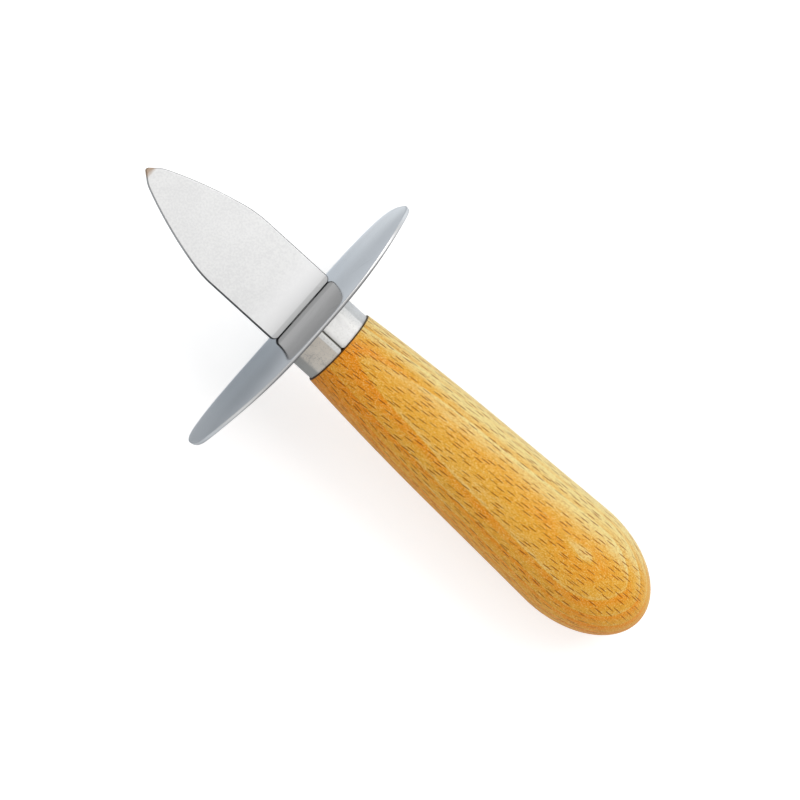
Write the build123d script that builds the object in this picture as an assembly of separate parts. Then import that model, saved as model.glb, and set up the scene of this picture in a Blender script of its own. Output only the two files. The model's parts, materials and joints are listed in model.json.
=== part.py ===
from build123d import *
from math import asin, atan, cos, degrees, hypot, radians, sin, sqrt, tan
import os

# An oyster knife: a lancet blade with a barbed tang, an oval domed guard, a ferrule rolled from
# strip, a turned beech handle, and the resin that beds the tang in the handle's bore.
# Sizes are in millimetres. While the knife is drawn, X runs along the handle's axis towards the
# tip, Y runs across the blade, Z is square to the blade's flat, and X is zero where the heel meets
# the guard. The last function lays the finished knife down as it rests.

# Blade
blade_width = 20.7
blade_length = 51.8
blade_thickness = 3.0
tip_thickness = 1.8
blade_offset = 0.7
parallel_length = 24.0
shoulder_radius = 30.0
point_length = 2.9
point_radius = 5.0
taper_bulge = 0.78
nose_angle = radians(40)
nose_radius = 0.7
heel_corner_radius = 1.4
blade_bevel = 0.4

# Tang, one piece with the blade
tang_width = 8.6
tang_end_width = 6.0
tang_thickness = 2.6
tang_length = 62.0
tang_end_radius = 1.5
barb_count = 5
barb_pitch = 8.0
barb_length = 4.0
barb_depth = 0.9
barb_start = 20.0

# Guard
guard_length = 78.3
guard_width = 56.1
guard_thickness = 1.0
guard_offset = 2.6
guard_outline_power = 2.83
guard_cross_drop = 2.99
guard_cross_power = 3.92
guard_long_drop = 1.44
guard_long_power = 5.85
guard_rim_bevel = 0.2
trim_margin = 1.0
slot_clearance = 0.15

# Ferrule
ferrule_diameter = 20.5
ferrule_wall = 1.0
ferrule_back = 12.75
ferrule_edge_bevel = 0.2
ferrule_seat_clearance = 0.02
seam_gap = 0.22
seam_offset = 0.95
seam_corner_cut = 0.6

# Handle
handle_front_diameter = 21.44
handle_front_slope = 0.097
handle_max_diameter = 30.4
handle_max_place = 91.1
handle_bend_length = 40.0
butt_length = 23.6
handle_edge_bevel = 0.4
spigot_gap = 0.4
bore_clearance = 0.3
bore_depth = 66.0
drill_angle = radians(59)

# Counts and overruns
overrun = 5.0
outline_quarter_points = 8
dome_sections = 8
bend_pieces = 2
butt_pieces = 5
tilt_steps = 30


def on_blade(shape):
    """Set a shape drawn about the blade's own middle line on that line."""
    return Pos(0, -blade_offset, 0) * shape


def blade_outline():
    """The blade seen square to its flat: square heel, parallel sides and a lancet point."""
    side = blade_width / 2
    apex = blade_length + nose_radius * (1 / sin(nose_angle) - 1)
    taper_end = blade_length - point_length
    point_side = (apex - taper_end) * tan(nose_angle)
    heel = Polyline((0, 0), (0, side), (parallel_length, side))
    taper = SagittaArc((parallel_length, side), (taper_end, point_side), taper_bulge)
    point = Line((taper_end, point_side), (apex, 0))
    upper = Curve() + [heel, taper, point]
    outline = make_face((upper + mirror(upper, about=Plane.XZ)).edges())
    outline = fillet(corners_at(outline, 0), heel_corner_radius)
    outline = fillet(corners_at(outline, parallel_length), shoulder_radius)
    outline = fillet(corners_at(outline, taper_end), point_radius)
    return fillet(corners_at(outline, apex), nose_radius)


def corners_at(outline, place):
    """The corners of an outline that lie at a place along the blade."""
    return [corner for corner in outline.vertices() if abs(corner.X - place) < blade_bevel]


def blade_side():
    """The blade seen from its edge: a thin wedge, drawn on past its heel and its tip."""
    fall = (blade_thickness - tip_thickness) / 2 / blade_length
    heel_side = blade_thickness / 2 + fall * overrun
    tip_side = tip_thickness / 2 - fall * overrun
    wedge = Polyline(
        (-overrun, -heel_side),
        (-overrun, heel_side),
        (blade_length + overrun, tip_side),
        (blade_length + overrun, -tip_side),
        close=True,
    )
    return Plane.XZ * make_face(wedge)


def tang():
    """A tapering tongue with barbs cut in both edges, their steep sides towards the blade."""
    end = -tang_length
    tongue = make_face(
        Polyline(
            (2 * blade_bevel, -tang_width / 2),
            (2 * blade_bevel, tang_width / 2),
            (-ferrule_back, tang_width / 2),
            (end, tang_end_width / 2),
            (end, -tang_end_width / 2),
            (-ferrule_back, -tang_width / 2),
            close=True,
        )
    )
    ends = [c for c in tongue.vertices() if c.X < end + tang_end_radius]
    tongue = fillet(ends, tang_end_radius)
    shrink = (tang_width - tang_end_width) / 2 / (tang_length - ferrule_back)
    for step in range(barb_count):
        place = -barb_start - step * barb_pitch
        edge = tang_width / 2 + (place + ferrule_back) * shrink
        for side in (-1, 1):
            notch = Polyline(
                (place - barb_length, side * (edge - barb_depth)),
                (place - barb_length, side * (edge + overrun)),
                (place, side * (edge + overrun)),
                (place, side * edge),
                close=True,
            )
            tongue -= make_face(notch)
    return extrude(tongue, tang_thickness / 2, both=True)


def blade():
    """The blade and its tang, one piece of steel."""
    body = extrude(blade_outline(), blade_thickness, both=True)
    body &= extrude(blade_side(), blade_width, both=True)
    rims = body.edges().filter_by(lambda edge: abs(edge.center().Z) > tip_thickness / 4)
    body = chamfer(rims, blade_bevel)
    return on_blade(body + tang())


def dome_drop(across, along):
    """How far the guard's front curls back at a point, from its own middle."""
    cross = guard_cross_drop * abs(2 * across / guard_width) ** guard_cross_power
    return cross + guard_long_drop * abs(2 * along / guard_length) ** guard_long_power


def dome_strip(along):
    """One upright slice of the pressed plate, before it is trimmed to the oval."""
    reach = guard_width / 2 + trim_margin
    heights = [reach * step / dome_sections for step in range(-dome_sections, dome_sections + 1)]
    front = [(-dome_drop(height, along), along, height) for height in heights]
    back = [(x - guard_thickness, y, z) for x, y, z in front]
    outline = [Spline(front), Line(front[-1], back[-1]), Spline(back), Line(back[0], front[0])]
    return make_face(outline)


def guard_outline():
    """The oval, fuller at its corners than an ellipse, as one closed curve."""
    power = 2 / guard_outline_power
    points = []
    for step in range(4 * outline_quarter_points):
        turn = radians(90) * step / outline_quarter_points
        c, s = cos(turn), sin(turn)
        along = guard_length / 2 * abs(c) ** power * (1 if c >= 0 else -1)
        across = guard_width / 2 * abs(s) ** power * (1 if s >= 0 else -1)
        points.append((along, across))
    return make_face(Spline(points, periodic=True))


def guard():
    """A pressed plate, curled back more across than along, trimmed to the oval and slotted."""
    reach = guard_length / 2 + trim_margin
    steps = range(-dome_sections, dome_sections + 1)
    blank = loft([dome_strip(reach * step / dome_sections) for step in steps])
    depth = guard_cross_drop + guard_long_drop + guard_thickness + overrun
    plate = blank & extrude(Plane.YZ * guard_outline(), depth, both=True)
    rims = [edge for edge in plate.edges() if edge.length > guard_length]
    plate = Pos(0, guard_offset, 0) * chamfer(rims, guard_rim_bevel)
    slot = Box(depth, tang_width + 2 * slot_clearance, tang_thickness + 2 * slot_clearance)
    return plate - on_blade(slot)


def guard_back():
    """Where the ferrule seats: behind the guard's back at the ferrule's furthest reach."""
    radius = ferrule_diameter / 2
    return guard_thickness + dome_drop(radius, guard_offset + radius) + ferrule_seat_clearance


def ferrule():
    """A strip rolled into a ring, its butt seam open by a hair and its corners cut back."""
    radius = ferrule_diameter / 2
    length = ferrule_back - guard_back()
    ring = Cylinder(radius, length) - Cylinder(radius - ferrule_wall, length + overrun)
    ring = chamfer(outer_rims(ring, radius), ferrule_edge_bevel)
    ring = Pos(-(ferrule_back + guard_back()) / 2, 0, 0) * Rot(0, 90, 0) * ring
    seam = Pos(0, seam_offset, radius) * Box(2 * ferrule_back + overrun, seam_gap, radius)
    corner = Polyline(
        (-ferrule_back, -seam_gap / 2 - seam_corner_cut),
        (-ferrule_back + seam_corner_cut, 0),
        (-ferrule_back, seam_gap / 2 + seam_corner_cut),
        close=True,
    )
    corner = extrude(Pos(0, seam_offset, 0) * make_face(corner), ferrule_diameter)
    return ring - seam - corner


def outer_rims(ring, radius):
    """The two outer end edges of a ring."""
    return [e for e in ring.edges().filter_by(GeomType.CIRCLE) if abs(e.radius - radius) < ferrule_wall / 2]


def bore():
    """The drilled hole for the tang, with its pointed bottom."""
    radius = hypot(tang_width / 2 + blade_offset, tang_thickness / 2) + bore_clearance
    front = -guard_back() - spigot_gap
    profile = Polyline(
        (front, 0),
        (front, radius),
        (-bore_depth, radius),
        (-bore_depth - radius / tan(drill_angle), 0),
        close=True,
    )
    return revolve(make_face(profile), Axis.X)


def taper_slope():
    """How steeply the handle's straight taper rises, to run on smoothly from bend to butt."""
    top = handle_max_diameter / 2
    middle = handle_front_diameter / 2 + handle_front_slope * handle_bend_length / 2
    run = handle_max_place - ferrule_back - handle_edge_bevel - handle_bend_length / 2
    spread = run**2 - butt_length**2
    return (sqrt((middle * run) ** 2 + spread * (top**2 - middle**2)) - middle * run) / spread


def butt_start():
    """The angle on the butt's ellipse, from the side, at which the straight taper meets it."""
    return atan(taper_slope() * butt_length / (handle_max_diameter / 2))


def in_pieces(curve, count):
    """One curve as several shorter ones, end to end."""
    return [curve.trim(step / count, (step + 1) / count) for step in range(count)]


def handle():
    """Turned beech: a spigot for the ferrule, a slow swell and a rounded butt, bored out."""
    spigot = ferrule_diameter / 2 - ferrule_wall
    front = handle_front_diameter / 2
    top = handle_max_diameter / 2
    start = (-guard_back() - spigot_gap, 0)
    steps = Polyline(
        start,
        (start[0], spigot),
        (-ferrule_back, spigot),
        (-ferrule_back, front - handle_edge_bevel),
        (-ferrule_back - handle_edge_bevel, front),
    )
    slope = taper_slope()
    bend_rise = handle_bend_length * (handle_front_slope + slope) / 2
    bend_end = steps @ 1 + Vector(-handle_bend_length, bend_rise)
    bend = TangentArc(steps @ 1, bend_end, tangent=(-1, handle_front_slope))
    turn = degrees(butt_start())
    butt = EllipticalCenterArc(
        (-handle_max_place, 0), butt_length, top, start_angle=90 - turn, arc_size=90 + turn
    )
    taper = Line(bend_end, butt @ 0)
    axis = Line(butt @ 1, start)
    profile = [steps, taper, axis] + in_pieces(bend, bend_pieces) + in_pieces(butt, butt_pieces)
    return revolve(make_face(profile), Axis.X) - bore()


def tang_bedding(tongue):
    """Cured resin that fills the bore round the tang."""
    return bore() - tongue


def rest_tilt():
    """How far the knife's axis tips up when the guard's rim and the butt lie on a table."""
    tilt = 0
    back = dome_drop(guard_width / 2, 0) + guard_thickness - guard_rim_bevel
    for _ in range(tilt_steps):
        butt = hypot(butt_length * sin(tilt), handle_max_diameter / 2 * cos(tilt))
        tilt = asin((guard_width / 2 * cos(tilt) - butt) / (handle_max_place - back))
    return tilt


def lay_down(pieces):
    """Tip the knife to its resting angle and put the middle of its footprint on the origin."""
    tipped = {name: Rot(0, -degrees(rest_tilt()), 0) * piece for name, piece in pieces.items()}
    box = Compound(children=[Part() + piece for piece in tipped.values()]).bounding_box()
    middle = box.center()
    return {name: Pos(-middle.X, -middle.Y, -box.min.Z) * piece for name, piece in tipped.items()}


steel = blade()
pieces = {
    "blade": steel,
    "guard": guard(),
    "ferrule": ferrule(),
    "handle": handle(),
    "tang_bedding": tang_bedding(steel),
}
os.makedirs("parts", exist_ok=True)
for name, piece in lay_down(pieces).items():
    export_step(piece, f"parts/{name}.step")
    print(name, round(piece.volume), "cubic mm")
print("rest tilt", round(degrees(rest_tilt()), 3), "degrees")
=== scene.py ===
# %% [markdown]
# An oyster knife is a short stiff lancet blade with a plate behind it that keeps the hand off the
# shell. This lesson dresses the knife's working model: five pieces that already have their real
# size and place. The working solids are coarse triangles and stay as they are, so the blade,
# guard, ferrule and handle are modelled again here, finer and smoother, and each takes the place
# of the solid it stands for. Only the resin round the tang, which nobody sees, is shown as it
# comes.

# %% Load the working model
import json
from math import atan, atan2, cos, hypot, pi, radians, sin, sqrt, tan
import bpy
from mathutils import Matrix, Vector

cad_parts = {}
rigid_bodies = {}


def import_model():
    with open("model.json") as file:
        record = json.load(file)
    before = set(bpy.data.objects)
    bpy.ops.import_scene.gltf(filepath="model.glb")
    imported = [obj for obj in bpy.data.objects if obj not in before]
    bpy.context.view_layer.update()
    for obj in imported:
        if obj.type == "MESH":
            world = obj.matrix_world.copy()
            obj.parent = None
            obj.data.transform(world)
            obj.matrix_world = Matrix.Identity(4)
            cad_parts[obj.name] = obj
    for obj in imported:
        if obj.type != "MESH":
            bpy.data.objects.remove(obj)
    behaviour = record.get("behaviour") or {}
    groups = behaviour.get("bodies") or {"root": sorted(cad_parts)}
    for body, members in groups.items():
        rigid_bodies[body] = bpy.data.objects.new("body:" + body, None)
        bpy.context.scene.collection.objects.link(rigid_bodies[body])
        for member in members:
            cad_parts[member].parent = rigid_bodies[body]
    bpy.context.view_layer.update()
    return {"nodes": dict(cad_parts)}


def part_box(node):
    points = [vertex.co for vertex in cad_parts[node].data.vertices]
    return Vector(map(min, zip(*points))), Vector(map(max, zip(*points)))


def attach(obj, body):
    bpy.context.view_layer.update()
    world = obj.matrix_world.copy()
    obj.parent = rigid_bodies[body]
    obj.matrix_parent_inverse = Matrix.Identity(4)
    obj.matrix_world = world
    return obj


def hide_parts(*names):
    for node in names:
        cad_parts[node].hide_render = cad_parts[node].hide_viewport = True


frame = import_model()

print("working pieces:", sorted(frame["nodes"]))

# %% [markdown]
# Blender counts in metres, and a knife is easier to think of in millimetres, so every length here
# is multiplied by mm. The knife is drawn straight: X along the handle's axis to the tip, Y across
# the blade, Z square to its flat, with X zero where the heel of the blade meets the guard.
#
# It doesn't lie straight. It rests on the guard's rim and the butt, so its axis tips up towards
# the point. Each piece could be drawn tipped, but straight ones are easier to draw and to check,
# so one matrix lays them all down when they are done. The butt is half an ellipsoid, and the box
# round a tipped ellipsoid is known, so the handle's box in the working model says where X is
# zero.

# %% How the knife lies
mm = 0.001
rest_tilt = radians(8.135)
handle_max_diameter = 30.4 * mm
handle_max_place = 91.1 * mm
butt_length = 23.6 * mm


def lying_knife():
    """The matrix that takes the straight drawn knife to where the working model lies."""
    low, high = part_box("handle")
    half = handle_max_diameter / 2
    reach = hypot(butt_length * cos(rest_tilt), half * sin(rest_tilt))
    sink = hypot(butt_length * sin(rest_tilt), half * cos(rest_tilt))
    middle = Vector((low.x + reach, (low.y + high.y) / 2, low.z + sink))
    along = Vector((cos(rest_tilt), 0, sin(rest_tilt)))
    tip_up = Matrix.Rotation(-rest_tilt, 4, "Y")
    return Matrix.Translation(middle + along * handle_max_place) @ tip_up


lying = lying_knife()
heel_place = lying.translation
print("heel of the blade at", [round(c / mm, 2) for c in heel_place], "mm")

# %% [markdown]
# An operator acts on whatever is selected, and the working solids come in selected, so each step
# begins by clearing that. Outlines are drawn the way a hand would: one vertex, extruded from
# point to point. A mesh could also be built from lists of numbers, but then every face would have
# to be listed too.


# %% Helpers that start a piece
def select_only(*pieces):
    """Only these pieces selected, the first of them active. With none, nothing is selected."""
    if bpy.context.object and bpy.context.object.mode != "OBJECT":
        bpy.ops.object.mode_set(mode="OBJECT")
    bpy.ops.object.select_all(action="DESELECT")
    for piece in pieces:
        piece.select_set(True)
    if pieces:
        bpy.context.view_layer.objects.active = pieces[0]


def trace(name, points):
    """A chain of vertices through the points, left in edit mode with its last vertex selected."""
    select_only()
    bpy.ops.mesh.primitive_plane_add(size=mm)
    piece = bpy.context.object
    piece.name = name
    bpy.ops.object.mode_set(mode="EDIT")
    bpy.ops.mesh.merge(type="CENTER")
    bpy.ops.transform.translate(value=points[0])
    for here, there in zip(points[:-1], points[1:]):
        step = [b - a for a, b in zip(here, there)]
        bpy.ops.mesh.extrude_region_move(TRANSFORM_OT_translate={"value": step})
    return piece


def edit_whole(*steps):
    """Run edit mode operators, each with its settings, on the whole of the active piece."""
    bpy.ops.object.mode_set(mode="EDIT")
    for operator, settings in steps:
        bpy.ops.mesh.select_all(action="SELECT")
        operator(**settings)
    bpy.ops.object.mode_set(mode="OBJECT")


select_only()
print("pieces selected at the start:", len(bpy.context.selected_objects))

# %% [markdown]
# The other helpers finish a piece. Seams are welded, faces are turned outwards, and all but the
# sharp edges are shaded smooth. Real edges are never quite sharp: a Bevel modifier, applied at
# once, gives each one three small facets that catch a thin line of light. Last, the piece is laid
# down where its working solid is and rides on the same body, and the working solid is hidden.

# %% Helpers that finish a piece
weld_distance = 0.001 * mm
smooth_angle = radians(35)
edge_facets = 3


def apply_modifier(piece, kind, **settings):
    """Add one modifier with its settings and apply it to the mesh."""
    select_only(piece)
    modifier = piece.modifiers.new(kind.title(), kind)
    for setting, value in settings.items():
        setattr(modifier, setting, value)
    bpy.ops.object.modifier_apply(modifier=modifier.name)


def weld_and_smooth():
    """Close the active piece's seams, turn its faces outwards and smooth all but sharp edges."""
    edit_whole(
        (bpy.ops.mesh.remove_doubles, {"threshold": weld_distance}),
        (bpy.ops.mesh.normals_make_consistent, {"inside": False}),
    )
    bpy.ops.object.shade_smooth_by_angle(angle=smooth_angle)


def soften_edges(piece, width, sharp_angle=smooth_angle):
    """Round the edges that turn by more than an angle."""
    apply_modifier(
        piece, "BEVEL", width=width, segments=edge_facets,
        limit_method="ANGLE", angle_limit=sharp_angle, harden_normals=True,
    )


def face_outwards(piece, outward):
    """Flip an open shell whose faces, added up, look against the outward way."""
    if sum(face.normal.dot(outward(face)) for face in piece.data.polygons) < 0:
        piece.data.flip_normals()


def join_pieces(piece, other):
    """Make another mesh part of a piece."""
    select_only(piece, other)
    bpy.ops.object.join()


def lay_down(piece, node):
    """Put a finished piece where its working solid lies, and let it stand for that solid."""
    piece.data.transform(lying)
    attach(piece, "root")
    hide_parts(node)
    print(piece.name, "has", len(piece.data.polygons), "faces")


print("edges get", edge_facets, "facets")

# %% [markdown]
# Curved outlines come from three short formulas. An arc runs round a centre from one angle to
# another, a bow lifts the middle of a straight line by a given height, and an eased corner swings
# from one side to the other without a kink. Curve objects could do this too, but points from a
# formula can be mirrored, cut short and counted.

# %% Helpers for outlines
def arc(centre, radius, start, end, steps):
    """Points on a circle in the flat of the drawing, from one angle to another, ends included."""
    angles = [start + (end - start) * step / steps for step in range(steps + 1)]
    return [(centre[0] + radius * cos(a), centre[1] + radius * sin(a)) for a in angles]


def bow(start, end, height, steps):
    """Points on a shallow curve that rises to a height halfway between two points."""
    run, rise = end[0] - start[0], end[1] - start[1]
    length = hypot(run, rise)
    points = []
    for step in range(steps + 1):
        share = step / steps
        lift = 4 * height * share * (1 - share) / length
        points.append((start[0] + run * share - rise * lift, start[1] + rise * share + run * lift))
    return points


def eased(start, corner, end, steps):
    """A soft curve that takes the place of a corner, touching both of its sides."""
    points = []
    for step in range(steps + 1):
        t = step / steps
        shares = ((1 - t) ** 2, 2 * t * (1 - t), t**2)
        sides = (start, corner, end)
        points.append(tuple(sum(s * p[i] for s, p in zip(shares, sides)) for i in (0, 1)))
    return points


print("an eased right angle passes through", eased((0, 0), (1, 0), (1, 1), 2)[1])

# %% [markdown]
# The blade is stamped from strip: square at the heel, parallel for half its length, then drawn in
# to a blunt lancet point. The vertices of a box could be pushed into that shape, but tracing the
# real outline keeps its long curves clean. Only half of it is worked out, and then mirrored.

# %% The blade's outline
blade_width = 20.7 * mm
blade_length = 51.77 * mm
blade_offset = 0.7 * mm
parallel_length = 24.0 * mm
shoulder_length = 5.6 * mm
point_length = 2.9 * mm
point_corner_length = 1.4 * mm
taper_bulge = 0.78 * mm
nose_angle = radians(40)
nose_radius = 0.7 * mm
heel_corner_radius = 1.4 * mm
heel_steps, shoulder_steps, taper_steps, corner_steps, nose_steps = 8, 8, 60, 4, 6


def blade_side_points():
    """Half of the blade's outline, from the heel to the middle of the nose."""
    side = blade_width / 2
    apex = blade_length + nose_radius * (1 / sin(nose_angle) - 1)
    taper_end = blade_length - point_length
    point_side = (apex - taper_end) * tan(nose_angle)
    heel_centre = (heel_corner_radius, side - heel_corner_radius)
    heel = arc(heel_centre, heel_corner_radius, pi, pi / 2, heel_steps)
    taper = bow((parallel_length, side), (taper_end, point_side), taper_bulge, taper_steps)
    nose_centre = apex - nose_radius / sin(nose_angle)
    nose = arc((nose_centre, 0), nose_radius, pi / 2 - nose_angle, 0, nose_steps)
    before = (parallel_length - shoulder_length / 2, side)
    after = [point for point in taper if point[0] > parallel_length + shoulder_length / 2]
    shoulder = eased(before, (parallel_length, side), after[0], shoulder_steps)
    half_corner = point_corner_length / 2
    kept = [point for point in after if point[0] < taper_end - half_corner][1:-1]
    beyond = (taper_end + half_corner, point_side - half_corner * tan(nose_angle))
    corner = eased(kept[-1], taper[-1], beyond, corner_steps)
    return heel + shoulder + kept[:-1] + corner + nose


def mirrored_outline(half):
    """Half an outline, then its mirror image run back, moved to the blade's own middle line."""
    other = [(x, -y) for x, y in reversed(half) if abs(y) > weld_distance]
    return [(x, y - blade_offset, 0) for x, y in half + other]


blade_outline = mirrored_outline(blade_side_points())
print("points in the blade's outline:", len(blade_outline))

# %% [markdown]
# The outline is filled and extruded by a little more than the strip's thickness. The blade is a
# thin wedge, as a grinder leaves it. Moving the tip's vertices would bend its flats, so two
# slanting cuts take the surplus off, just as the grinding wheel does.

# %% The blade's body
blade_thickness = 3.0 * mm
tip_thickness = 1.8 * mm
grinding_stock = 1.0 * mm


def extrude_outline(name, outline, thickness):
    """A flat plate of an outline, centred on Z, in edit mode with everything selected."""
    piece = trace(name, [(x, y, -thickness / 2) for x, y, _ in outline])
    bpy.ops.mesh.select_all(action="SELECT")
    bpy.ops.mesh.edge_face_add()
    bpy.ops.mesh.extrude_region_move(TRANSFORM_OT_translate={"value": (0, 0, thickness)})
    bpy.ops.mesh.select_all(action="SELECT")
    return piece


def slant_cut(side):
    """Grind one flat so the plate thins evenly from heel to point."""
    fall = (blade_thickness - tip_thickness) / 2 / blade_length
    bpy.ops.mesh.select_all(action="SELECT")
    bpy.ops.mesh.bisect(
        plane_co=(0, 0, side * blade_thickness / 2),
        plane_no=(fall, 0, side),
        clear_outer=True,
        use_fill=True,
    )


blade = extrude_outline("blade_piece", blade_outline, blade_thickness + grinding_stock)
slant_cut(1)
slant_cut(-1)
weld_and_smooth()
print("blade body:", [round(d / mm, 2) for d in blade.dimensions], "mm")

# %% [markdown]
# The tang is the same piece of steel, narrowed and barbed so that it can't be pulled out of the
# handle. Nobody sees it on a finished knife, but it is what makes the knife strong, so it is here
# with its barbs, running through the guard's slot and down the handle's bore. Separate barbs
# could be stuck on, but in steel they are notches, so the outline simply steps in and out.

# %% The tang
tang_width = 8.6 * mm
tang_end_width = 6.0 * mm
tang_thickness = 2.6 * mm
tang_length = 62.0 * mm
barb_count = 5
barb_pitch = 8.0 * mm
barb_length = 4.0 * mm
barb_depth = 0.9 * mm
barb_start = 20.0 * mm
ferrule_back = 12.75 * mm


def tang_edge(place):
    """Half the tang's width at a place along it: parallel in the ferrule, tapering behind it."""
    shrink = (tang_width - tang_end_width) / 2 / (tang_length - ferrule_back)
    return tang_width / 2 - max(0, -ferrule_back - place) * shrink


def tang_side_points():
    """One edge of the tongue with its row of barbs."""
    edge = [(heel_corner_radius, tang_width / 2), (-ferrule_back, tang_width / 2)]
    for step in range(barb_count):
        place = -barb_start - step * barb_pitch
        edge.append((place, tang_edge(place)))
        edge.append((place, tang_edge(place) - barb_depth))
        edge.append((place - barb_length, tang_edge(place) - barb_depth))
        edge.append((place - barb_length, tang_edge(place - barb_length)))
    return edge + [(-tang_length, tang_end_width / 2)]


tang = extrude_outline("tang_part", mirrored_outline(tang_side_points()), tang_thickness)
weld_and_smooth()
print("tang:", [round(d / mm, 2) for d in tang.dimensions], "mm")

# %% [markdown]
# A file and a buffing wheel take the sharpness off every edge of the blade. The tang is left as
# it was stamped. The two are then one piece, as in steel.

# %% Soften the blade's edges and join the tang
blade_edge_softness = 0.28 * mm
soften_edges(blade, blade_edge_softness)
join_pieces(blade, tang)
lay_down(blade, "blade")

# %% [markdown]
# The guard is pressed from a millimetre of sheet. Its outline is an oval that is fuller at the
# corners than an ellipse. It is polished like a mirror, so the smallest lump in the mesh would
# show. A cut-out from a square grid would leave ragged cells at the rim, so an outer ring and the
# slot for the tang are drawn with the same number of points, to be bridged with even rings of
# faces.

# %% The guard's outlines
guard_length = 78.3 * mm
guard_width = 56.1 * mm
guard_offset = 2.6 * mm
outline_power = 2.83
slot_clearance = 0.15 * mm
trials_per_point = 40


def oval_point(turn):
    """A point of the guard's outline at an angle."""
    c, s = cos(turn), sin(turn)
    along = abs(c) ** (2 / outline_power) * (1 if c >= 0 else -1)
    across = abs(s) ** (2 / outline_power) * (1 if s >= 0 else -1)
    return guard_length / 2 * along + guard_offset, guard_width / 2 * across


def slot_point(turn):
    """A point of the slot's outline in the same direction, seen from the slot's middle."""
    half_width = tang_width / 2 + slot_clearance
    half_height = tang_thickness / 2 + slot_clearance
    c, s = cos(turn), sin(turn)
    grow = min(half_width / max(abs(c), weld_distance), half_height / max(abs(s), weld_distance))
    return grow * c - blade_offset, grow * s


def even_turns(count):
    """Angles that space the oval's points about evenly, although its formula crowds them."""
    fine = trials_per_point * count
    places = [oval_point(2 * pi * step / fine) for step in range(fine + 1)]
    lengths = [0]
    for before, after in zip(places[:-1], places[1:]):
        lengths.append(lengths[-1] + hypot(after[0] - before[0], after[1] - before[1]))
    turns, step = [], 0
    for index in range(count):
        while lengths[step] < lengths[-1] * index / count:
            step += 1
        turns.append(2 * pi * step / fine)
    return turns


print("the guard's outline ends at", round(oval_point(0)[0] / mm, 2), "mm from the handle's axis")

# %% [markdown]
# Each ring starts as a circle whose vertices are set on the outline. The slot's points look the
# same way from the middle as the rim's, so the faces between them run straight outwards and don't
# twist.

# %% The guard's two rings
rim_points = 192


def ring_of(turns, point_at, name):
    """A closed ring of vertices set on an outline in the guard's plane."""
    bpy.ops.mesh.primitive_circle_add(vertices=len(turns), radius=guard_length)
    ring = bpy.context.object
    ring.name = name
    for vertex, turn in zip(ring.data.vertices, turns):
        vertex.co = (0, *point_at(turn))
    return ring


select_only()
rim_turns = even_turns(rim_points)
slot_turns = [atan2(*reversed(oval_point(turn))) for turn in rim_turns]
guard = ring_of(rim_turns, oval_point, "guard_piece")
slot_ring = ring_of(slot_turns, slot_point, "slot_ring")
join_pieces(guard, slot_ring)
print("guard rings joined:", len(guard.data.vertices), "points")

# %% [markdown]
# The press curls the sheet back, more across than along. A Simple Deform modifier bends one way
# only, and a lattice would leave waves in the polish. One smooth formula gives every vertex its
# own drop instead, and the sheet gets its thickness after that, so it is even all over.

# %% Bridge, press and thicken the guard
guard_thickness = 1.0 * mm
cross_drop = 2.99 * mm
cross_power = 3.92
long_drop = 1.44 * mm
long_power = 5.85
rings_between = 60
rim_softness = 0.22 * mm


def press_drop(y, z):
    """How far the press pushes a point of the sheet back from its middle."""
    cross = cross_drop * abs(2 * z / guard_width) ** cross_power
    return cross + long_drop * abs(2 * (y - guard_offset) / guard_length) ** long_power


bridge = {"number_cuts": rings_between, "interpolation": "LINEAR"}
edit_whole((bpy.ops.mesh.bridge_edge_loops, bridge))
for vertex in guard.data.vertices:
    vertex.co.x = -press_drop(vertex.co.y, vertex.co.z)
edit_whole((bpy.ops.mesh.normals_make_consistent, {"inside": False}))
face_outwards(guard, lambda face: Vector((1, 0, 0)))
apply_modifier(guard, "SOLIDIFY", thickness=guard_thickness, offset=-1.0, use_even_offset=True)
soften_edges(guard, rim_softness)
bpy.ops.object.shade_smooth_by_angle(angle=smooth_angle)
lay_down(guard, "guard")

# %% [markdown]
# The ferrule is a strip of steel rolled into a ring. Its two ends meet in a butt seam that never
# quite closes, and their corners are clipped at the wood. A cylinder would have no seam. A short
# line spun almost all the way round leaves just that gap, and its end corners can be pulled back.

# %% Roll the ferrule
ferrule_diameter = 20.5 * mm
ferrule_front = 1.09 * mm
seam_gap = 0.22 * mm
seam_offset = 0.95 * mm
seam_corner_cut = 0.6 * mm
strip_steps = 108

seam_half_angle = seam_gap / ferrule_diameter
seam_turn = -seam_offset / (ferrule_diameter / 2)
start_turn = seam_turn - seam_half_angle
clip_place = ferrule_back - seam_corner_cut


def roll_point(place, turn):
    """A point on the outside of the ferrule, turned from the top of the knife."""
    radius = ferrule_diameter / 2
    return (place, -radius * sin(turn), radius * cos(turn))


def spin_profile(steps, angle=2 * pi):
    """Spin the active piece's line of vertices about the handle's axis."""
    bpy.ops.mesh.select_all(action="SELECT")
    bpy.ops.mesh.spin(steps=steps, angle=angle, center=(0, 0, 0), axis=(1, 0, 0))


strip_edge = [roll_point(-place, start_turn) for place in (ferrule_front, clip_place, ferrule_back)]
ferrule = trace("ferrule_piece", strip_edge)
spin_profile(strip_steps, 2 * pi - 2 * seam_half_angle)
bpy.ops.object.mode_set(mode="OBJECT")
print("ferrule strip:", [round(d / mm, 2) for d in ferrule.dimensions], "mm")

# %% [markdown]
# The strip's two corners at the wood are found by their place and pulled back. A Boolean could
# clip them, but it would leave long thin faces beside the seam. The wall comes last, inwards, so
# that the outside keeps its size.

# %% Clip the strip's corners and give it its wall
ferrule_wall = 1.0 * mm
strip_softness = 0.12 * mm
strip_sharp_angle = radians(50)


def seam_distance(vertex):
    """How far round the ring a vertex is from the middle of the seam."""
    turn = atan2(-vertex.co.y, vertex.co.z) - seam_turn
    return abs(turn) * ferrule_diameter / 2


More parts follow.
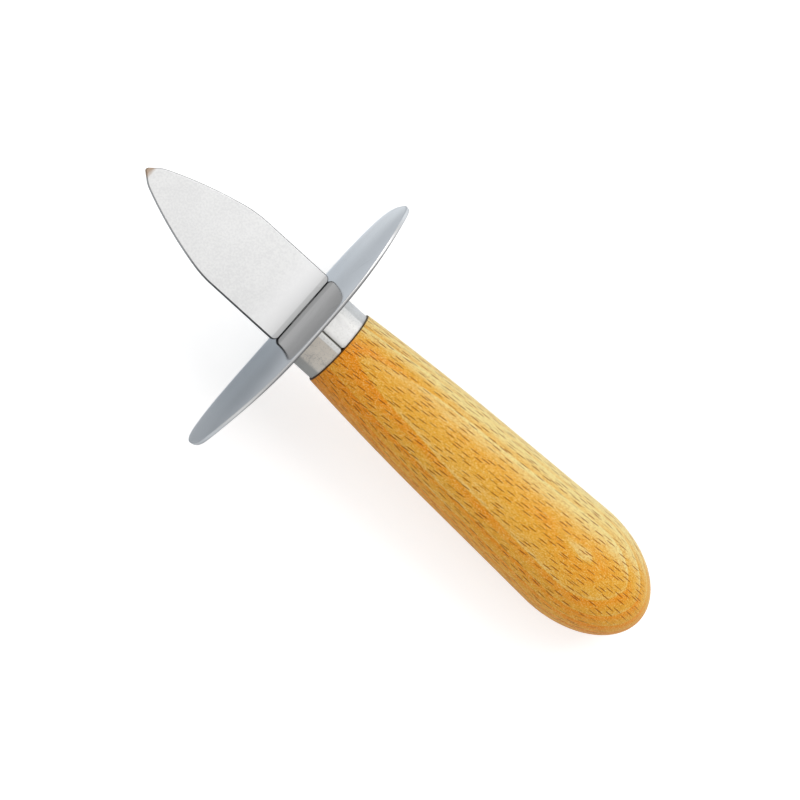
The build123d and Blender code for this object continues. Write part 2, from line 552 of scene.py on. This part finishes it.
clipped = 0
for vertex in ferrule.data.vertices:
    at_wood = vertex.co.x < -ferrule_back + weld_distance
    if at_wood and seam_distance(vertex) < seam_corner_cut / 2:
        vertex.co.x = -clip_place - weld_distance
        clipped += 1
face_outwards(ferrule, lambda face: Vector((0, face.center.y, face.center.z)))
apply_modifier(ferrule, "SOLIDIFY", thickness=ferrule_wall, offset=-1.0)
soften_edges(ferrule, strip_softness, strip_sharp_angle)
bpy.ops.object.shade_smooth_by_angle(angle=smooth_angle)
print("corners clipped:", clipped)
lay_down(ferrule, "ferrule")

# %% [markdown]
# The handle is turned on a lathe. The profile starts at the bottom of the drilled bore, comes out
# over the spigot that the ferrule grips, steps up to the shoulder and follows the swell: a slow
# bend, a straight taper and a butt that is a quarter of an ellipse. The taper's slope could be
# set by eye, but the light on the varnish shows every kink, so it is worked out to run on
# smoothly at both ends.

# %% The handle's swell
handle_front_diameter = 21.44 * mm
handle_front_slope = 0.097
handle_bend_length = 40.0 * mm
handle_edge = 0.4 * mm


def taper_slope():
    """How steeply the straight taper rises between the bend and the butt."""
    top = handle_max_diameter / 2
    middle = handle_front_diameter / 2 + handle_front_slope * handle_bend_length / 2
    run = handle_max_place - ferrule_back - handle_edge - handle_bend_length / 2
    spread = run**2 - butt_length**2
    return (sqrt((middle * run) ** 2 + spread * (top**2 - middle**2)) - middle * run) / spread


def swell_points(steps):
    """The bend from the shoulder: its slope falls evenly from the front slope to the taper's."""
    start = ferrule_back + handle_edge
    fall = (handle_front_slope - taper_slope()) / handle_bend_length
    runs = [handle_bend_length * step / steps for step in range(steps + 1)]
    front = handle_front_diameter / 2
    return [(-start - run, front + run * (handle_front_slope - fall * run / 2)) for run in runs]


def butt_points(steps):
    """The butt, from where the taper runs into its ellipse to the axis."""
    top = handle_max_diameter / 2
    start = -atan(taper_slope() * butt_length / top)
    turns = [start + (pi / 2 - start) * step / steps for step in range(steps + 1)]
    return [(-handle_max_place - butt_length * sin(turn), top * cos(turn)) for turn in turns]


print("the taper rises", round(1000 * taper_slope(), 1), "mm in a metre")

# %% [markdown]
# Spinning a profile in edit mode is the same as turning wood. A Screw modifier would do it too,
# and a revolved curve, but spin leaves a plain mesh that can be welded at the axis straight away.

# %% Turn the handle
spigot_gap = 0.4 * mm
bore_clearance = 0.3 * mm
bore_depth = 66.0 * mm
drill_angle = radians(59)
lathe_steps = 128
edge_steps, swell_steps, butt_steps = 6, 24, 40


def handle_profile():
    """The whole turned profile, from the bottom of the bore to the middle of the butt."""
    spigot = ferrule_diameter / 2 - ferrule_wall
    face = -ferrule_front - spigot_gap
    bore = hypot(tang_width / 2 + blade_offset, tang_thickness / 2) + bore_clearance
    shoulder = (-ferrule_back - handle_edge, handle_front_diameter / 2 - handle_edge)
    inside = [(-bore_depth - bore / tan(drill_angle), 0), (-bore_depth, bore), (face, bore)]
    step = [(face, spigot), (-ferrule_back, spigot), (-ferrule_back, shoulder[1])]
    corner = arc(shoulder, handle_edge, 0, pi / 2, edge_steps)[1:-1]
    return inside + step + corner + swell_points(swell_steps) + butt_points(butt_steps)[1:]


handle = trace("handle_piece", [(x, r, 0) for x, r in handle_profile()])
spin_profile(lathe_steps)
weld_and_smooth()
lay_down(handle, "handle")

# %% [markdown]
# A finish is built from shader nodes. They can be wired by hand as boxes on a screen, but sums
# are easier to read as sums, so one small class wraps a socket and gives it the arithmetic signs.


# %% A socket that can be reckoned with
class Wire:
    """A shader socket that can be added, multiplied and compared like a number."""

    def __init__(self, wiring, socket):
        self.wiring = wiring
        self.socket = socket

    def maths(self, operation, *values):
        """One Math node on some values."""
        return self.wiring.node("ShaderNodeMath", {"operation": operation}, dict(enumerate(values)))

    def __add__(self, other):
        return self.maths("ADD", self, other)

    def __sub__(self, other):
        return self.maths("SUBTRACT", self, other)

    def __rsub__(self, other):
        return self.maths("SUBTRACT", other, self)

    def __mul__(self, other):
        return self.maths("MULTIPLY", self, other)

    def __truediv__(self, other):
        return self.maths("DIVIDE", self, other)

    def __abs__(self):
        return self.maths("ABSOLUTE", self)

    __radd__ = __add__
    __rmul__ = __mul__

    def fraction(self):
        """What is left past the last whole number, so it starts again at 0 after each one."""
        return self.maths("FRACT", self)

    def either(self, other):
        """The larger of two masks, so 1 where either of them is."""
        return self.maths("MAXIMUM", self, other)

    def within(self, low, high):
        """Rises smoothly from 0 at low to 1 at high, or falls where high is below low."""
        if low > high:
            return 1 - self.within(high, low)
        settings = {"interpolation_type": "SMOOTHSTEP"}
        return self.wiring.node("ShaderNodeMapRange", settings, {0: self, 1: low, 2: high})


print("wires know", sorted(name for name in vars(Wire) if not name.startswith("__")))

# %% [markdown]
# Every other node comes from one method that takes the node's type, its settings and what feeds
# its sockets. A finish, the sheet and the light of the room all use it. A few patterns are named
# after what they do: blend two colours, scatter a noise, raise a bump, or tell one kind of ray
# from the rest.


# %% Adding nodes
class Wiring:
    """Adds nodes to a node tree and wires them up."""

    def __init__(self, tree):
        self.nodes = tree.nodes
        self.links = tree.links

    def node(self, kind, settings, sockets, output=0):
        """Add a node: settings first, then a value or a wire for each socket."""
        made = self.nodes.new(kind)
        for setting, value in settings.items():
            setattr(made, setting, value)
        for socket, value in sockets.items():
            self.feed(made.inputs[socket], value)
        return Wire(self, made.outputs[output])

    def feed(self, socket, value):
        """Give a socket a wire or a plain value."""
        if isinstance(value, Wire):
            self.links.new(value.socket, socket)
        else:
            socket.default_value = value

    def mix(self, factor, first, second):
        """Blend two colours. They are sockets 6 and 7 of a Mix node, and its output 2."""
        settings = {"data_type": "RGBA"}
        return self.node("ShaderNodeMix", settings, {0: factor, 6: first, 7: second}, output=2)

    def vector_maths(self, operation, first, second, output=0):
        """One Vector Math node."""
        settings = {"operation": operation}
        return self.node("ShaderNodeVectorMath", settings, {0: first, 1: second}, output)

    def noise(self, place, scale, detail=2.0, roughness=0.5):
        """Cloudy numbers round 0.5 at a place."""
        sockets = {"Vector": place, "Scale": scale, "Detail": detail, "Roughness": roughness}
        return self.node("ShaderNodeTexNoise", {}, sockets)

    def bump(self, height, strength, distance):
        """A surface normal that leans as a height would make it."""
        sockets = {"Strength": strength, "Distance": distance, "Height": height}
        return self.node("ShaderNodeBump", {}, sockets)

    def ray(self, kind):
        """1 for rays of a kind, such as Camera, Glossy or Transmission, and 0 for the rest."""
        return self.node("ShaderNodeLightPath", {}, {}, output=f"Is {kind} Ray")


print("nodes come from", sorted(name for name in vars(Wiring) if not name.startswith("__")))

# %% [markdown]
# Every pattern is laid out in millimetres on the straight drawn knife, so a number such as 13
# means 13 mm behind the heel. UV maps would need a seam in each piece, while places in space need
# none, and wood is cut out of a solid anyway. The Mapping node stretches such a place along the
# grain and turns it.


# %% A finish on the knife
def socket_name(word):
    """A shader socket's name from a Python word, such as base_color."""
    return word.replace("_", " ").title().replace("Ior", "IOR")


class Finish(Wiring):
    """One material, with the nodes that vary its colour, roughness and surface."""

    def __init__(self, name, **constants):
        self.material = bpy.data.materials.new(name)
        self.material.use_nodes = True
        super().__init__(self.material.node_tree)
        self.shader = self.nodes["Principled BSDF"]
        self.paint(**constants)

    def paint(self, **sockets):
        """Feed the surface and hand back the material."""
        for word, value in sockets.items():
            self.feed(self.shader.inputs[socket_name(word)], value)
        return self.material

    def straight_place(self, scale=(1, 1, 1), lean=0, roll=0):
        """Places counted in millimetres on the straight drawn knife, stretched, leaning, rolled."""
        place = self.node("ShaderNodeTexCoord", {}, {}, output="Object")
        turn, size = (roll, -rest_tilt, lean), [mm / stretch for stretch in scale]
        sockets = {"Vector": place, "Location": heel_place, "Rotation": turn, "Scale": size}
        return self.node("ShaderNodeMapping", {"vector_type": "TEXTURE"}, sockets)

    def part_of(self, vector, index):
        """One of a vector's three numbers: 0 along the knife, 1 across it, 2 up from its flat."""
        return self.node("ShaderNodeSeparateXYZ", {}, {0: vector}, output=index)

    def facing(self, direction):
        """How squarely the surface faces a direction of the straight knife: 1, 0 or away at -1."""
        way = lying.to_3x3() @ Vector(direction)
        normal = self.node("ShaderNodeTexCoord", {}, {}, output="Normal")
        return self.vector_maths("DOT_PRODUCT", normal, way, output="Value")

    def turned(self, vector, angle):
        """A vector turned in the plane of its first two numbers."""
        sockets = {"Vector": vector, "Angle": angle}
        return self.node("ShaderNodeVectorRotate", {"rotation_type": "Z_AXIS"}, sockets)

    def specks(self, along, row, spacing, size, stagger):
        """Long specks in staggered rows: how far out from a speck's middle, and the speck's lot."""
        place = self.node("ShaderNodeCombineXYZ", {}, {0: along / spacing[0], 1: row / spacing[1]})
        place = self.turned(place, stagger)
        flat = {"voronoi_dimensions": "2D"}
        sockets = {"Vector": place, "Scale": 1.0, "Randomness": 0.7}
        lot = self.node("ShaderNodeTexVoronoi", flat, sockets, output="Color")
        middle = self.node("ShaderNodeTexVoronoi", flat, sockets, output="Position")
        away = self.turned(self.vector_maths("SUBTRACT", place, middle), -stagger)
        reach = (2 * spacing[0] / size[0], 2 * spacing[1] / size[1], 0)
        away = self.vector_maths("MULTIPLY", away, reach)
        outward = self.node("ShaderNodeVectorMath", {"operation": "LENGTH"}, {0: away}, "Value")
        return outward, self.node("ShaderNodeSeparateColor", {}, {0: lot})


def coat_piece(piece, material):
    """The piece's only material."""
    piece.data.materials.clear()
    piece.data.materials.append(material)
    print(piece.name, "is finished with", material.name)


print("patterns turn by", round(rest_tilt * 180 / pi, 2), "degrees to follow the knife")

# %% [markdown]
# The blade is satin steel, nearly white where it mirrors the light overhead. A belt leaves fine
# scratches across it and the stone leaves a faint clouding. Both could be photographs, but a noise
# that is squeezed one way makes scratches at any size. Towards the heel it is painted brighter, a
# painted light against the shade of the guard that it mirrors, and a thin strip right at the guard
# is painted darker, a painted shade. The stamped edges are painted dark, also a painted shade: a
# mask finds them, because they are the faces that don't look square up or down. The very tip is
# tanned, as steel gets where it was ground too hot.


# %% The blade's satin steel
def blade_finish():
    """Stippled satin with a tanned tip, painted light towards the heel, and painted shade at the
    heel and on the stamped edges.
    """
    dull, bright, painted_heel_light = (0.765, 0.765, 0.765, 1), (0.835, 0.835, 0.83, 1), (1.0, 1.0, 1.0, 1)
    painted_heel_shade, painted_edge_shade = (0.60, 0.60, 0.60, 1), (0.10, 0.10, 0.105, 1)
    burnt_tan = (0.42, 0.29, 0.19, 1)
    steel = Finish("satin_blade_steel", metallic=1.0)
    along = steel.part_of(steel.straight_place(), 0)
    clouds = steel.noise(steel.straight_place(), 0.12, detail=3.0)
    stipple = steel.noise(steel.straight_place(), 1.8, detail=2.0)
    scratches = steel.noise(steel.straight_place((0.35, 9.0, 9.0)), 1.0, detail=4.0)
    tone = 0.25 * clouds + 0.75 * stipple
    grey = steel.mix(tone.within(0.35, 0.65), dull, bright)
    # Painted light: brighter towards the heel, against the shade of the guard that the blade
    # mirrors.
    grey = steel.mix(along.within(12.0, 2.0), grey, painted_heel_light)
    # Painted shade in a thin strip right at the guard.
    grey = steel.mix(along.within(1.7, 1.2) * 0.5, grey, painted_heel_shade)
    # Painted shade on the stamped edges, the faces that don't look square up or down.
    flatness = steel.facing((0, 0, 1))
    stamped = (flatness * flatness).within(0.97, 0.85)
    grey = steel.mix(stamped * (0.5 + 0.5 * along.within(34.0, 20.0)), grey, painted_edge_shade)
    tip = blade_length / mm
    ragged_edge = along + 0.8 * steel.noise(steel.straight_place(), 1.4)
    burnt = ragged_edge.within(tip - 1.7, tip - 0.4)
    colour = steel.mix(burnt * 0.85, grey, burnt_tan)
    rough = 0.38 + 0.04 * clouds + 0.05 * scratches + 0.25 * stamped
    normal = steel.bump(scratches, 0.05, 0.02 * mm)
    return steel.paint(base_color=colour, roughness=rough, normal=normal)


coat_piece(blade, blade_finish())

# %% [markdown]
# The guard is polished stainless steel. It shows the table in front of it and the blade that stands
# on it, so its look comes from its form and from what surrounds it. The steel itself needs only a
# plain grey, a near-mirror roughness, and a few hair scratches from handling. They are laid at two
# angles, because one angle would look brushed. The rim is the sheared edge of the sheet, satin,
# with a painted highlight that makes it brighter than the faces and a painted shade along its back
# edge, and is found by the way that it faces.

# %% The guard's polished steel
hairline_rolls = (radians(24), radians(-38))
hairline_rows = {"spacing": (13, 6), "size": (8, 0.14), "stagger": radians(20)}


def hairlines(steel):
    """Straight hair scratches on the guard's two faces, 1 on a scratch and 0 beside it."""
    scratch = 0
    for roll in hairline_rolls:
        rolled = steel.straight_place(roll=roll)
        across, height = steel.part_of(rolled, 1), steel.part_of(rolled, 2)
        outward, lot = steel.specks(across, height, **hairline_rows)
        scratch = outward.within(1.2, 0.4) * lot.within(0.5, 1.0) + scratch
    return scratch


def guard_finish():
    """Polished steel with hairlines, a satin rim with a painted highlight, and a painted shade
    along its back edge.
    """
    deep, light = (0.48, 0.483, 0.49, 1), (0.53, 0.533, 0.54, 1)
    scratched, painted_rim_highlight = (0.05, 0.05, 0.055, 1), (0.70, 0.70, 0.70, 1)
    painted_back_shade = (0.16, 0.16, 0.165, 1)
    steel = Finish("polished_guard_steel", metallic=1.0, specular_tint=(0.67, 0.67, 0.67, 1))
    haze = steel.noise(steel.straight_place(), 0.05, detail=2.0)
    scratch = hairlines(steel)
    colour = steel.mix(haze.within(0.3, 0.7), deep, light)
    colour = steel.mix(scratch * 0.5, colour, scratched)
    # The rim's brighter grey is a painted highlight.
    front = steel.facing((1, 0, 0))
    sheared = (front * front).within(0.55, 0.2)
    colour = steel.mix(sheared, colour, painted_rim_highlight)
    # A painted shade along the rim's back edge.
    shaded_back_edge = front.within(-0.2, -0.45) * front.within(-0.95, -0.85)
    colour = steel.mix(shaded_back_edge * 0.8, colour, painted_back_shade)
    rough = 0.08 + 0.05 * haze + 0.2 * scratch + 0.32 * sheared
    return steel.paint(base_color=colour, roughness=rough)


coat_piece(guard, guard_finish())

# %% [markdown]
# The ferrule is softer steel than the blade, with dull patches, and dirt darkens it beside the
# seam. Its light and shade are painted as bands of colour at their places across the top, laid one
# over the other: painted highlights on the far side and over the seam, a warmer near side that is a
# painted reflection with painted shade mottled over it, and painted shade along the near edge.


# %% The ferrule's rolled steel
def painted_bands_and_specks(across, blotches, stipple):
    """Each painted highlight, painted reflection, painted shade or random stipple: where it is, and
    its colour.
    """
    painted_low_side = across.within(2.4, 2.7)
    return [
        # Painted highlights, in bands across the top.
        (across.within(-7.6, -7.2) * across.within(-3.6, -5.4), (0.84, 0.83, 0.81, 1)),
        (across.within(-1.9, -0.5) * across.within(1.2, 0.9), (0.75, 0.745, 0.73, 1)),
        (across.within(0.9, 1.2) * across.within(2.7, 2.4), (0.86, 0.855, 0.835, 1)),
        # A painted warm reflection on the near side, with painted shade mottled over it.
        (painted_low_side, (0.74, 0.69, 0.62, 1)),
        (painted_low_side * (blotches + stipple).within(1.0, 1.3), (0.56, 0.53, 0.49, 1)),
        # Painted shade along the near edge.
        (across.within(8.3, 9.0), (0.43, 0.42, 0.395, 1)),
        # A random dark stipple, the steel's own.
        (stipple.within(0.5, 0.3) * 0.3, (0.50, 0.49, 0.47, 1)),
    ]


def ferrule_finish():
    """Rolled strip: blotches, painted bands of highlight and shade, and grime beside the seam."""
    dull, plain, grimy = (0.60, 0.595, 0.585, 1), (0.70, 0.695, 0.685, 1), (0.16, 0.16, 0.13, 1)
    steel = Finish("rolled_ferrule_steel", metallic=1.0)
    across, height = (steel.part_of(steel.straight_place(), index) for index in (1, 2))
    blotches = steel.noise(steel.straight_place(), 0.45, detail=5.0, roughness=0.65)
    rings = steel.noise(steel.straight_place((6.0, 0.4, 0.4)), 1.0, detail=3.0)
    stipple = steel.noise(steel.straight_place(), 2.2, detail=2.0)
    grey = steel.mix(blotches.within(0.3, 0.7), dull, plain)
    for where, shade in painted_bands_and_specks(across, blotches, stipple):
        grey = steel.mix(where, grey, shade)
    from_seam = abs(across - seam_offset / mm)
    grime = from_seam.within(0.45, 0.15) * height.within(5.0, 8.0)
    colour = steel.mix(grime * 0.7, grey, grimy)
    rough = 0.52 + 0.12 * blotches + 0.04 * rings
    normal = steel.bump(rings + 0.5 * blotches, 0.10, 0.03 * mm)
    return steel.paint(base_color=colour, roughness=rough, normal=normal)


coat_piece(ferrule, ferrule_finish())

# %% [markdown]
# Beech is pale gold under varnish. Three things make it look like beech and no other wood: growth
# rings that show as nested pointed ovals where the lathe cut through them, thousands of short dark
# flecks that lie along the grain, and a slow change from honey to amber. A picture of veneer would
# have to be stretched over the butt. Here rings and colours are worked out in depth, through the
# solid wood, so they run round the handle as they would on a turned one. First comes one number for
# the whole wood: how far it has gone from honey to amber. It also holds painted light: a pale
# painted sheen on the far side, painted light along the near edge, and a near side that is more
# amber, partly from the wood and partly painted shade.

# %% The tone of the beech
grain_lean = radians(5)
ring_spacing = 2.74


def growth_rings(height, across, along, wander, streaks):
    """Late wood, which darkens slowly and stops short, and the pale early wood after it."""
    depth = height - 0.055 * across + 0.017 * along + 1.6 * (wander - 0.5) + 0.35 * (streaks - 0.5)
    ring = (depth / ring_spacing).fraction()
    late = ring.within(0.25, 0.9) * ring.within(1.0, 0.93)
    return late, ring.within(0.22, 0.0)


def beech_tone(wood, along, across, height, streaks, grain):
    """How amber the wood is, from its place, its clouds, its rings and its grain, with painted
    sheen, light and shade by side.
    """
    wander = wood.noise(wood.straight_place((0.02, 0.08, 0.08)), 1.0, detail=2.0)
    clouds = wood.noise(wood.straight_place((0.025, 0.14, 0.14), grain_lean), 1.0, detail=3.0)
    late, early = growth_rings(height, across, along, wander, streaks)
    near_ferrule = along.within(-48.0, -10.0) * across.within(-16.0, 4.0)
    at_butt = along.within(-84.0, -112.0)
    # More amber towards the near side: partly the wood's own tone and partly painted shade.
    tone = 0.31 + 0.018 * across + 0.6 * (clouds - 0.5) + 0.32 * near_ferrule + 0.17 * at_butt
    # A painted sheen on the far side's upper half.
    painted_sheen_side = across.within(-3.0, -12.0) * height.within(-8.0, 2.0)
    # Painted light along the near edge, which is paler there.
    tone = tone - 0.22 * painted_sheen_side - 0.10 * across.within(9.0, 14.0)
    tone = tone + (0.18 + 0.12 * across.within(-6.0, 0.0)) * late - 0.18 * early
    return tone + 0.5 * (streaks - 0.5) + 0.3 * (grain - 0.5)


print("growth rings are", ring_spacing, "mm apart")

# %% [markdown]
# The flecks are the ends of rays, the bands of cells that run from the middle of the tree
# outwards. A noise gives blots, so they are drawn as cells of a Voronoi pattern, each with one
# long speck in it. They are drawn twice, as seen from above and as seen from the side, and each
# surface takes the set that it faces, so that none is smeared.

# %% The flecks of the beech
fleck_rows = {"spacing": (4.6, 0.95), "size": (2.8, 0.24), "stagger": radians(27)}


def beech_flecks(wood, along, across, height):
    """Short dark dashes along the grain, 1 on a dash and 0 beside it."""
    from_above = (across - tan(grain_lean) * along, (0, 0, 1))
    from_the_side = (height, (0, 1, 0))
    fleck = 0
    for row, way in (from_above, from_the_side):
        outward, lot = wood.specks(along, row, **fleck_rows)
        square_on = wood.facing(way)
        seen = (square_on * square_on).within(0.35, 0.6)
        fleck = outward.within(1.15, 0.8) * lot.within(-0.1, 0.6) * seen + fleck
    return fleck


print("flecks are", fleck_rows["size"][0], "mm long")

# %% [markdown]
# Over tone and flecks comes a thin varnish: a weak coat, a little duller on the dense streaks. A
# strong coat would put a white line along the handle. A dark line is left where wood meets
# ferrule.


# %% The handle's varnished beech
def beech_finish():
    """Honey to amber wood, with grain, flecks and a dark line at the shoulder, under varnish."""
    honey, golden, amber = (0.88, 0.72, 0.30, 1), (0.82, 0.41, 0.038, 1), (0.86, 0.28, 0.002, 1)
    dark_grain, light_grain = (0.45, 0.15, 0.004, 1), (0.98, 0.76, 0.28, 1)
    fleck_brown, shoulder_line = (0.29, 0.065, 0.0, 1), (0.03, 0.015, 0.006, 1)
    wood = Finish(
        "varnished_beech", coat_weight=0.1, coat_roughness=0.35, specular_ior_level=0.16
    )
    along, across, height = (wood.part_of(wood.straight_place(), index) for index in range(3))
    streak_place = wood.straight_place((0.1, 2.6, 2.6), grain_lean)
    streaks = wood.noise(streak_place, 1.0, detail=4.0, roughness=0.65)
    grain_place = wood.straight_place((2.2, 4.2, 4.2), grain_lean)
    grain = wood.noise(grain_place, 1.0, detail=1.0, roughness=0.6)
    tone = beech_tone(wood, along, across, height, streaks, grain)
    colour = wood.mix(tone.within(-0.12, 0.46), honey, golden)
    colour = wood.mix(tone.within(0.38, 0.95), colour, amber)
    colour = wood.mix(grain.within(0.52, 0.68) * 0.4, colour, dark_grain)
    colour = wood.mix(grain.within(0.47, 0.32) * 0.45, colour, light_grain)
    fleck = beech_flecks(wood, along, across, height)
    colour = wood.mix(fleck * 0.95, colour, fleck_brown)
    colour = wood.mix(along.within(-13.12, -13.0) * 0.9, colour, shoulder_line)
    rough = 0.44 + 0.14 * streaks
    normal = wood.bump(streaks - fleck, 0.10, 0.05 * mm)
    return wood.paint(base_color=colour, roughness=rough, normal=normal)


coat_piece(handle, beech_finish())

# %% [markdown]
# The resin that beds the tang is never seen on a whole knife, but it has a finish too: cloudy
# amber, set glossy. Its working solid is already right, because it only fills the bore round the
# tang.


# %% The resin
def resin_finish():
    """Cloudy amber resin."""
    resin = Finish("cured_resin")
    clouds = resin.noise(resin.straight_place(), 0.3, detail=3.0)
    colour = resin.mix(clouds.within(0.3, 0.7), (0.30, 0.20, 0.08, 1), (0.42, 0.30, 0.14, 1))
    return resin.paint(base_color=colour, roughness=0.15 + 0.2 * clouds)


coat_piece(frame["nodes"]["tang_bedding"], resin_finish())

# %% [markdown]
# The knife lies on a plain white sheet. The sheet is lit like everything else, so it takes the
# knife's shadow. More light could turn it white, but it would bleach the knife as well, so a glow
# is added that throws no light on the knife. The camera and rays through glass see all of it.
# Mirror rays see a fainter, bluer one, because polished steel shows the room round the table more
# than the table's own white, and less of it on the near side: a painted shadow that only the steel
# shows.

# %% The white sheet
sheet_size = 6000 * mm
sheet_cuts = 4
sheet_grey = (0.72, 0.72, 0.72, 1)
white_glow = (0.58, 0.58, 0.58, 1)
far_glow, painted_shadow_glow = (0.43, 0.50, 0.57, 1), (0.15, 0.20, 0.25, 1)

select_only()
bpy.ops.mesh.primitive_plane_add(size=sheet_size, location=(0, 0, 0))
sheet = bpy.context.object
sheet.name = "white_sheet"
edit_whole((bpy.ops.mesh.subdivide, {"number_cuts": sheet_cuts}))


def sheet_finish():
    """Matt white, with a glow that only camera, mirror and glass rays see; mirrors see less of it
    on the near side, a painted shadow.
    """
    matt = {"roughness": 0.9, "specular_ior_level": 0.0}
    paper = Finish("white_paper", base_color=sheet_grey, emission_strength=1.0, **matt)
    # A painted shadow: mirrors see a dimmer glow on the near side.
    painted_shadow_side = paper.part_of(paper.straight_place(), 1).within(-10.0, 12.0)
    mirrored = paper.mix(painted_shadow_side, far_glow, painted_shadow_glow)
    glow = paper.mix(paper.ray("Glossy"), (0, 0, 0, 1), mirrored)
    glow = paper.mix(paper.ray("Transmission"), glow, white_glow)
    glow = paper.mix(paper.ray("Camera"), glow, white_glow)
    return paper.paint(emission_color=glow)


coat_piece(sheet, sheet_finish())

# %% [markdown]
# The light is a plain studio: a large soft lamp above the far side, a weaker one opposite, a
# third in front of the point. One hard lamp would be simpler, but steel shows the shape of what
# lights it, so the lamps are large. The third one lights the flat of the blade that the guard
# mirrors.

# %% The light
studio_lamps = {
    "key_lamp": {"place": (-0.25, -0.75, 0.95), "size": 0.8, "watts": 7.0},
    "fill_lamp": {"place": (-0.35, 0.8, 0.6), "size": 0.9, "watts": 1.3},
    "front_lamp": {"place": (0.45, -0.05, 1.1), "size": 0.5, "watts": 0.6},
}


def soft_lamp(name, place, size, watts):
    """A square soft lamp that faces the knife."""
    bpy.ops.object.light_add(type="AREA", location=place)
    lamp = bpy.context.object
    lamp.name = name
    lamp.data.size = size
    lamp.data.energy = watts
    lamp.rotation_euler = (-Vector(place)).to_track_quat("-Z", "Y").to_euler()
    print(name, "gives", watts, "watts")


select_only()
for name, lamp in studio_lamps.items():
    soft_lamp(name, **lamp)

# %% [markdown]
# The room's walls are pale. Their light on the knife is kept low, because a strong one would
# bleach the blade. Seen past the edge of the sheet they are white like the sheet, for the camera
# and through glass only.

# %% The room
room_glow = 0.53

room = bpy.data.worlds.new("white_room")
room.use_nodes = True
bpy.context.scene.world = room
walls = Wiring(room.node_tree)
wall_light = walls.nodes["Background"]
looked_at = walls.ray("Camera").either(walls.ray("Transmission"))
walls.feed(wall_light.inputs["Color"], (1, 1, 1, 1))
walls.feed(wall_light.inputs["Strength"], room_glow + (1 - room_glow) * looked_at)
print("the room glows at", room_glow)

# %% [markdown]
# The camera looks almost straight down through a long lens, tipped a little towards the near edge
# of the blade. The knife lies aslant in the picture. The camera could be pointed by three angles,
# but how far the knife leans, how far the camera tips and what it looks at are easier to measure,
# so its axes are built from those.

# %% The camera
view_lean = radians(42.021)
view_tip = radians(6.73)
view_roll = radians(-0.25)
view_distance = 1200 * mm
aim_behind_heel = 32.61 * mm
aim_beside_middle = 3.01 * mm
picture_width = 800
pixels_per_mm = 4.07
film_width = 36


def view_axes():
    """The picture's two directions along the handle and across it, and the way to the camera."""
    t, r, d = rest_tilt, view_tip, view_roll
    along = Vector((-cos(t), sin(t) * sin(r), sin(t) * cos(r)))
    across = Vector((0, cos(r), -sin(r)))
    towards = Vector((sin(t), cos(t) * sin(r), cos(t) * cos(r)))
    turn = lying.to_3x3()
    along, across, towards = turn @ along, turn @ across, turn @ towards
    return along * cos(d) + across * sin(d), across * cos(d) - along * sin(d), towards


along, across, towards = view_axes()
right = along * cos(view_lean) - across * sin(view_lean)
down = along * sin(view_lean) + across * cos(view_lean)
guard_middle = lying @ Vector((0, guard_offset, 0))
aim = guard_middle + along * aim_behind_heel - across * aim_beside_middle
bpy.ops.object.camera_add()
camera = bpy.context.object
turned = Matrix((right, -down, towards)).transposed().to_4x4()
camera.matrix_world = Matrix.Translation(aim + towards * view_distance) @ turned
camera.data.sensor_width = film_width
camera.data.lens = film_width * view_distance / mm * pixels_per_mm / picture_width
bpy.context.scene.camera = camera
bpy.context.scene.view_settings.view_transform = "Standard"
print("lens:", round(camera.data.lens, 1), "mm")

# %% [markdown]
# A dressed piece that grew past its working solid would be the wrong size.
